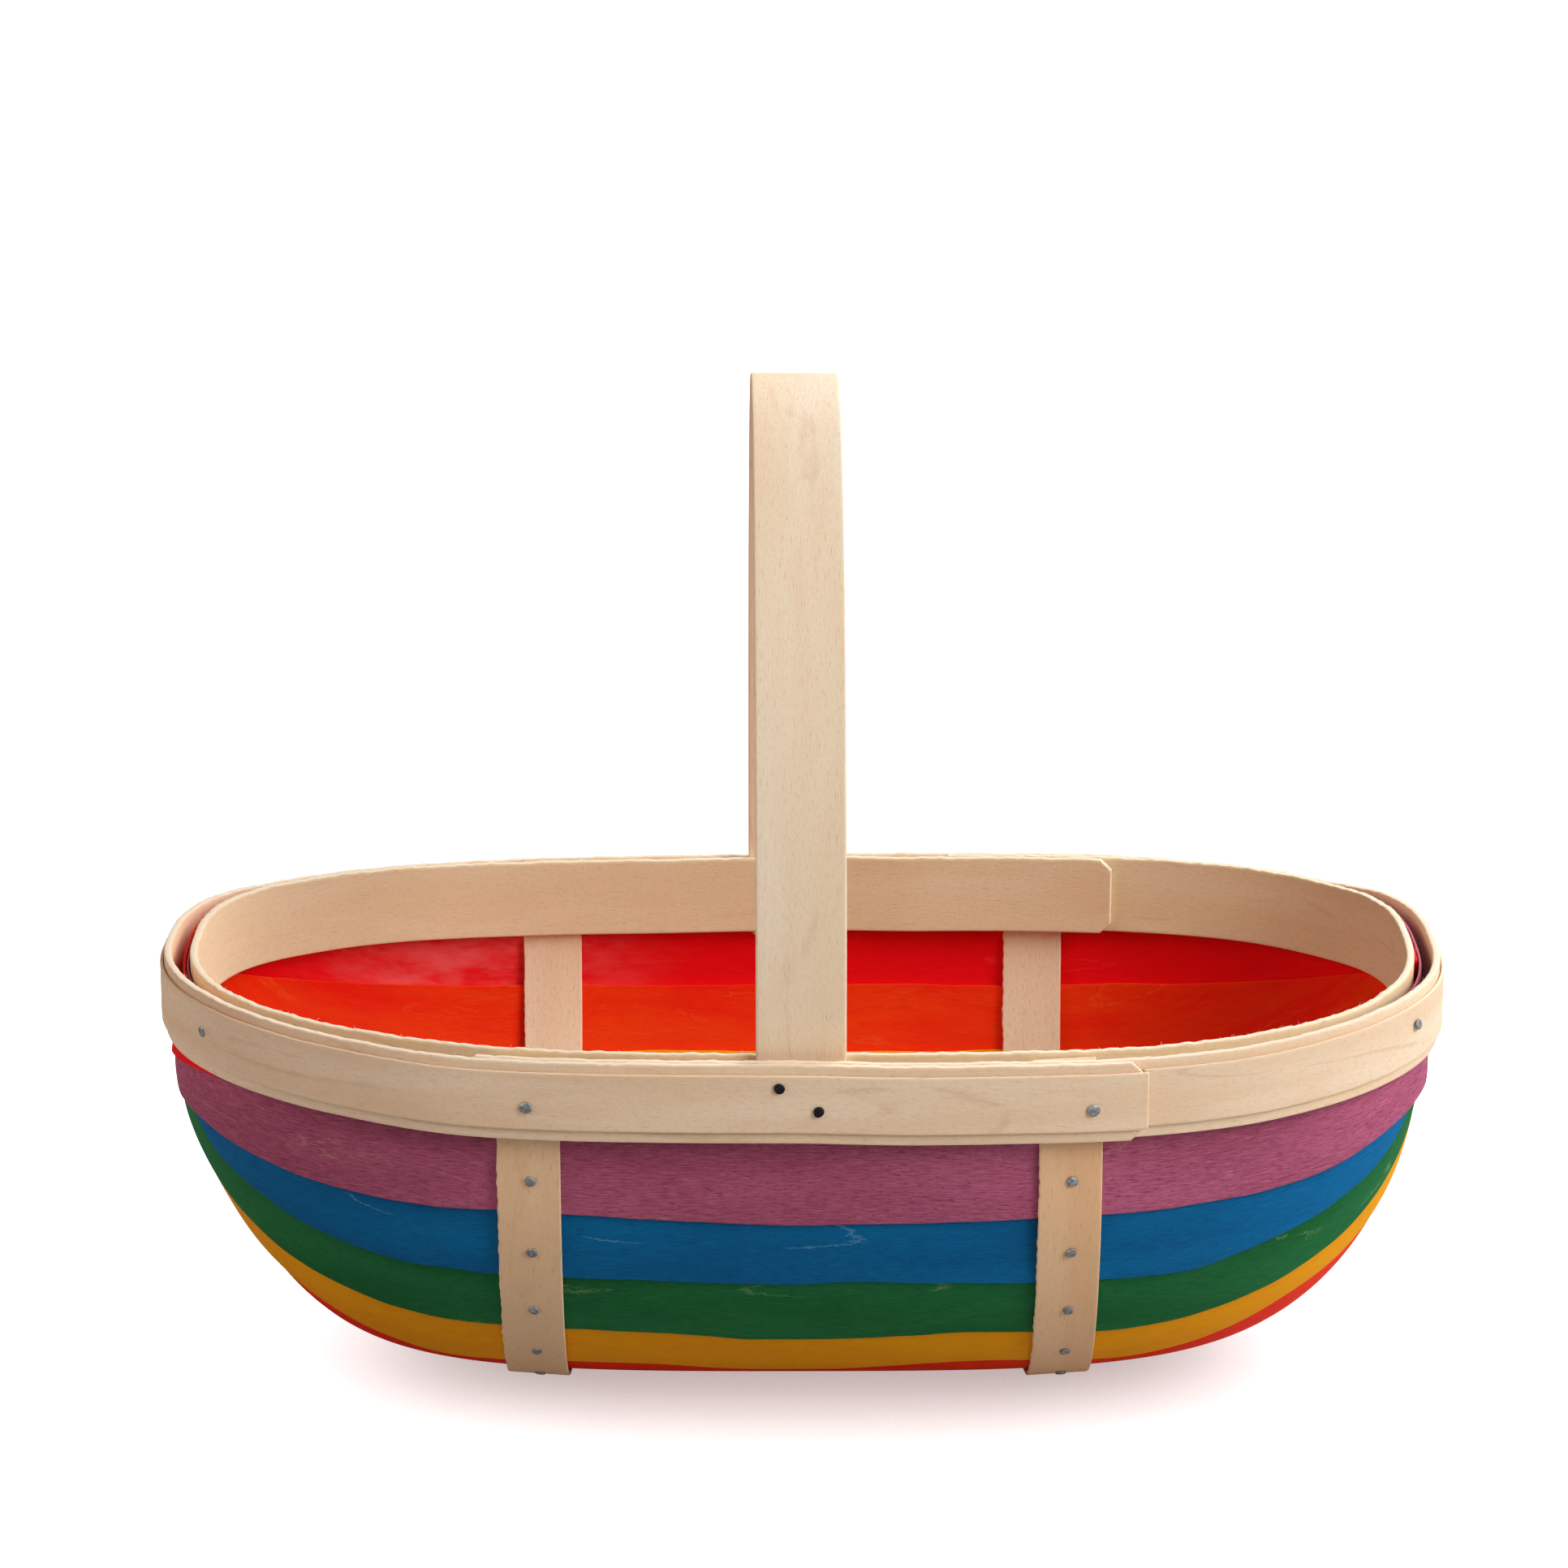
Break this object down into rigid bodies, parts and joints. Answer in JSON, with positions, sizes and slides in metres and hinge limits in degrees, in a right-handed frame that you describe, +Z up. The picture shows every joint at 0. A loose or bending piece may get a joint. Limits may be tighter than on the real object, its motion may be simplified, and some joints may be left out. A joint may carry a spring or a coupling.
{
  "type": "trug basket",
  "caption": "Oblong boat-shaped trug basket of stained overlapping slats with nailed cross straps, bent rim hoops and a tall fixed strip handle.",
  "frame": {"origin": "centre of the bounding box on the surface that the basket stands on", "axes": "+X along the basket, +Y to the back, +Z up through the handle"},
  "size_m": [0.4, 0.218, 0.3161],
  "materials": {
    "pale_wood": "bare, smooth planed poplar strip",
    "strap_wood": "bare poplar strip, slightly rough at the edges",
    "purple_stain": "purple water stain on thin wood, grain showing through",
    "blue_stain": "blue water stain on thin wood, grain showing through",
    "green_stain": "green water stain on thin wood, grain showing through",
    "yellow_stain": "yellow water stain on thin wood, grain showing through",
    "orange_stain": "orange water stain on thin wood, grain showing through",
    "red_stain": "red water stain on thin wood, grain showing through",
    "steel_nail": "dull zinc-grey steel",
    "black_nail": "black lacquered steel"
  },
  "bodies": {
    "root": {"slat_01_purple_front_rim": "purple_stain", "slat_02_blue_front": "blue_stain", "slat_03_green_front": "green_stain", "slat_04_yellow_front": "yellow_stain", "slat_05_orange_front": "orange_stain", "slat_06_red_front": "red_stain", "slat_07_purple_back": "purple_stain", "slat_08_blue_back": "blue_stain", "slat_09_green_back": "green_stain", "slat_10_yellow_back": "yellow_stain", "slat_11_orange_back": "orange_stain", "slat_12_red_back_rim": "red_stain", "outer_strap_left": "strap_wood", "inner_strap_left": "strap_wood", "outer_strap_right": "strap_wood", "inner_strap_right": "strap_wood", "outer_band": "pale_wood", "face_strip": "pale_wood", "inner_hoop": "pale_wood", "handle": "pale_wood", "strap_nail_left_01": "steel_nail", "strap_nail_left_02": "steel_nail", "strap_nail_left_03": "steel_nail", "strap_nail_left_04": "steel_nail", "strap_nail_left_05": "steel_nail", "strap_nail_left_06": "steel_nail", "strap_nail_left_07": "steel_nail", "strap_nail_left_08": "steel_nail", "strap_nail_left_09": "steel_nail", "strap_nail_left_10": "steel_nail", "strap_nail_left_11": "steel_nail", "strap_nail_left_12": "steel_nail", "strap_nail_right_01": "steel_nail", "strap_nail_right_02": "steel_nail", "strap_nail_right_03": "steel_nail", "strap_nail_right_04": "steel_nail", "strap_nail_right_05": "steel_nail", "strap_nail_right_06": "steel_nail", "strap_nail_right_07": "steel_nail", "strap_nail_right_08": "steel_nail", "strap_nail_right_09": "steel_nail", "strap_nail_right_10": "steel_nail", "strap_nail_right_11": "steel_nail", "strap_nail_right_12": "steel_nail", "hoop_nail_front_left": "steel_nail", "hoop_nail_back_left": "steel_nail", "hoop_nail_front_right": "steel_nail", "hoop_nail_back_right": "steel_nail", "handle_nail_front_upper": "black_nail", "handle_nail_back_upper": "black_nail", "handle_nail_front_lower": "black_nail", "handle_nail_back_lower": "black_nail", "tip_nail_left": "steel_nail", "tip_nail_left_front": "steel_nail", "tip_nail_right_front": "steel_nail", "tip_nail_right_back": "steel_nail"}
  },
  "joints": []
}
